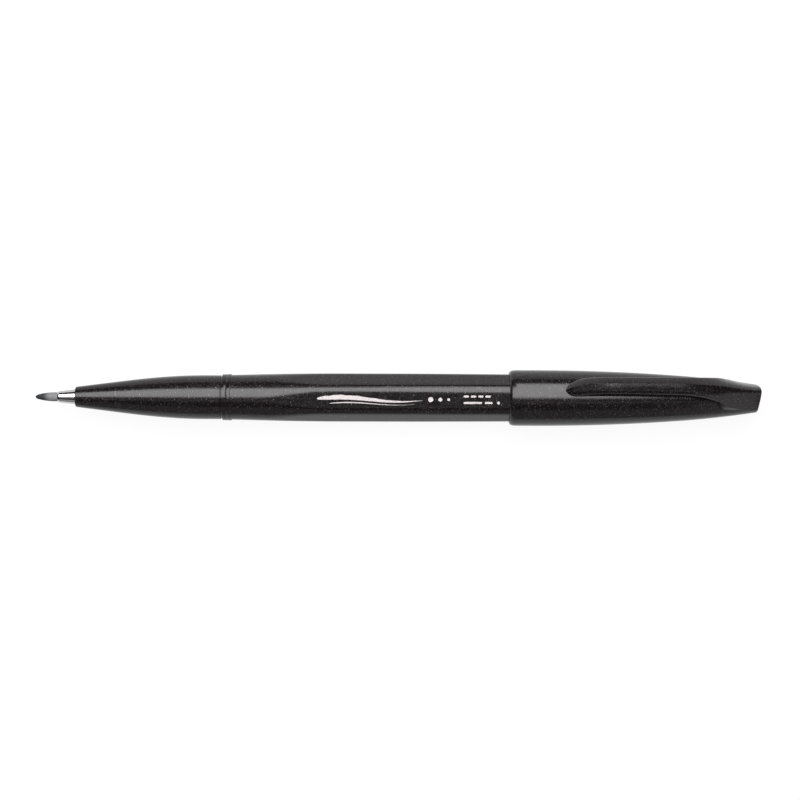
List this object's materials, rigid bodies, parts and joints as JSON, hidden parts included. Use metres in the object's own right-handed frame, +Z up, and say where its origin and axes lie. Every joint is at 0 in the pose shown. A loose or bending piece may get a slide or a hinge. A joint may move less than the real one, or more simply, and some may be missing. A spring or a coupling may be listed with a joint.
{
  "type": "brush pen",
  "caption": "Slim brush pen with a flexible fibre nib, six-sided barrel and its clipped cap pushed onto the tail.",
  "frame": {"origin": "under the middle of the pen's length, at the lowest line of the cap, which is where the pen touches the table it lies on", "axes": "the pen's axis lies along X with the nib towards -X and the cap's end towards +X; +Z is up, square to the barrel's upper flat"},
  "size_m": [0.1512, 0.0116, 0.0135],
  "materials": {
    "nib_fibre": "bonded synthetic fibre, stained with black ink at the point",
    "ferrule_metal": "polished bright metal",
    "holder_plastic": "plain moulded grey",
    "black_plastic": "glossy near-black moulding with a fine pearl speckle",
    "inked_fibre": "ink-soaked fibre bundle",
    "clear_film": "thin plastic film",
    "plug_plastic": "black moulded plug",
    "liner_plastic": "milky soft moulding"
  },
  "bodies": {
    "pen_body": {"barrel": "black_plastic", "front_section": "black_plastic", "nib_ferrule": "ferrule_metal", "nib_holder": "holder_plastic", "nib_shank": "nib_fibre", "ink_reservoir": "inked_fibre", "reservoir_wrap": "clear_film", "tail_plug": "plug_plastic"},
    "nib": {"nib_tip": "nib_fibre"},
    "cap_liner": {"inner_cap": "liner_plastic"},
    "cap": {"cap_shell": "black_plastic"},
    "clip": {"cap_clip": "black_plastic"}
  },
  "joints": [
    {"name": "nib_bend", "type": "hinge", "parent": "pen_body", "child": "nib", "pos_m": [-0.07182, 0, 0.00583], "axis": [0, 1, 0], "range_deg": [-30, 30], "stiffness_Nm_per_rad": 0.004},
    {"name": "cap_pull", "type": "slide", "parent": "pen_body", "child": "cap_liner", "axis": [1, 0, 0], "range_m": [0, 0.03]},
    {"name": "cap_turn", "type": "hinge", "parent": "cap_liner", "child": "cap", "pos_m": [0.05, 0, 0.00583], "axis": [1, 0, 0], "continuous": true},
    {"name": "clip_flex", "type": "hinge", "parent": "cap", "child": "clip", "pos_m": [0.06648, 0.00232, 0.01048], "axis": [0, 0.8949, -0.4462], "range_deg": [0, 4], "stiffness_Nm_per_rad": 1.2, "springref_deg": -1.15}
  ]
}
